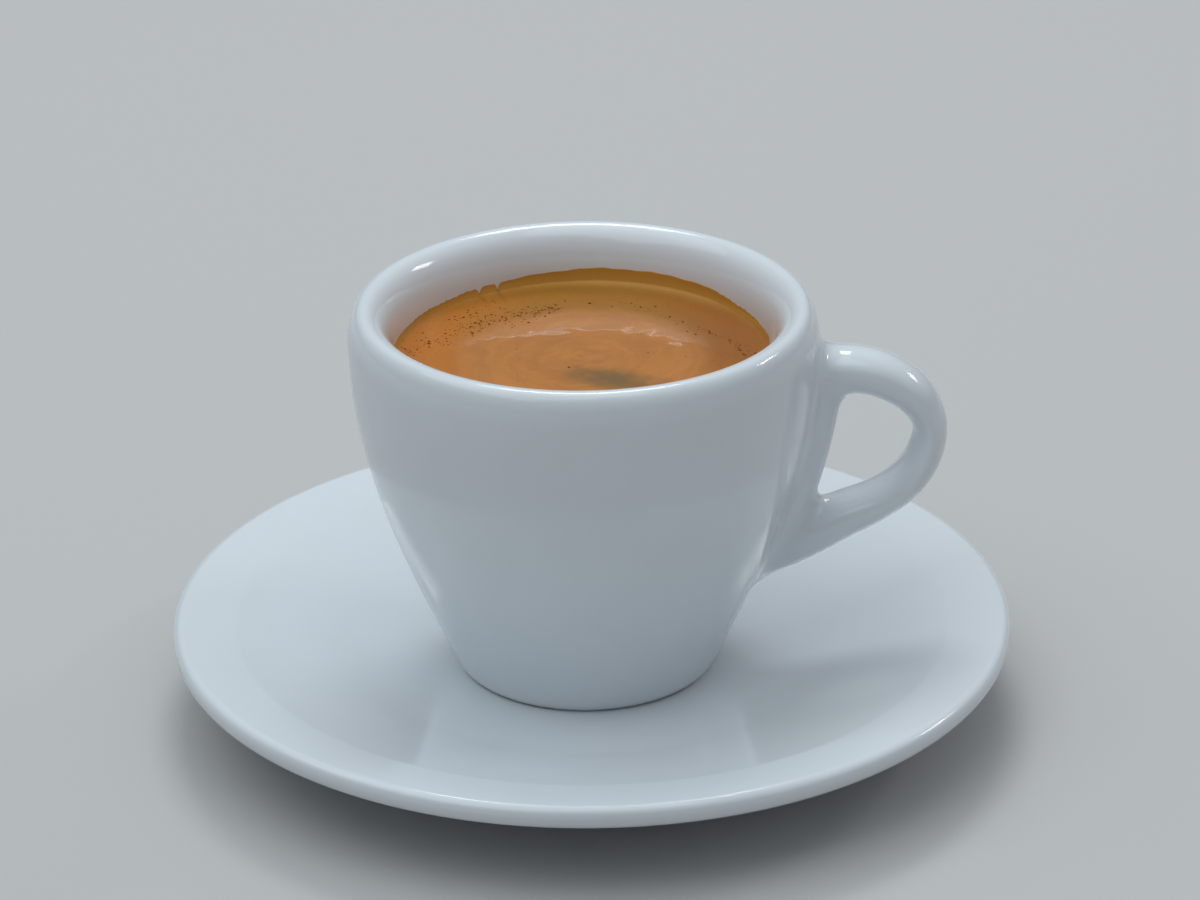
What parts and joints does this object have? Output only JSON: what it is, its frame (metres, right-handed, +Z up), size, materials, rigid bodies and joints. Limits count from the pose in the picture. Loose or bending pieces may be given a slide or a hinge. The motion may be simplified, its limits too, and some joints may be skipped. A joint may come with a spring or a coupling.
{
  "type": "espresso shot",
  "caption": "Espresso with crema in a thick glazed porcelain cup with one loop handle, standing on its round saucer.",
  "frame": {"origin": "centre of the saucer's foot, on the table", "axes": "+Z up out of the cup, +X towards the cup's handle"},
  "size_m": [0.12, 0.12, 0.0615],
  "materials": {
    "porcelain": "glossy clear glaze on white porcelain",
    "coffee": "black coffee",
    "crema": "fine moist foam"
  },
  "bodies": {
    "root": {"saucer": "porcelain", "cup": "porcelain", "espresso": "coffee", "crema": "crema"}
  },
  "joints": []
}
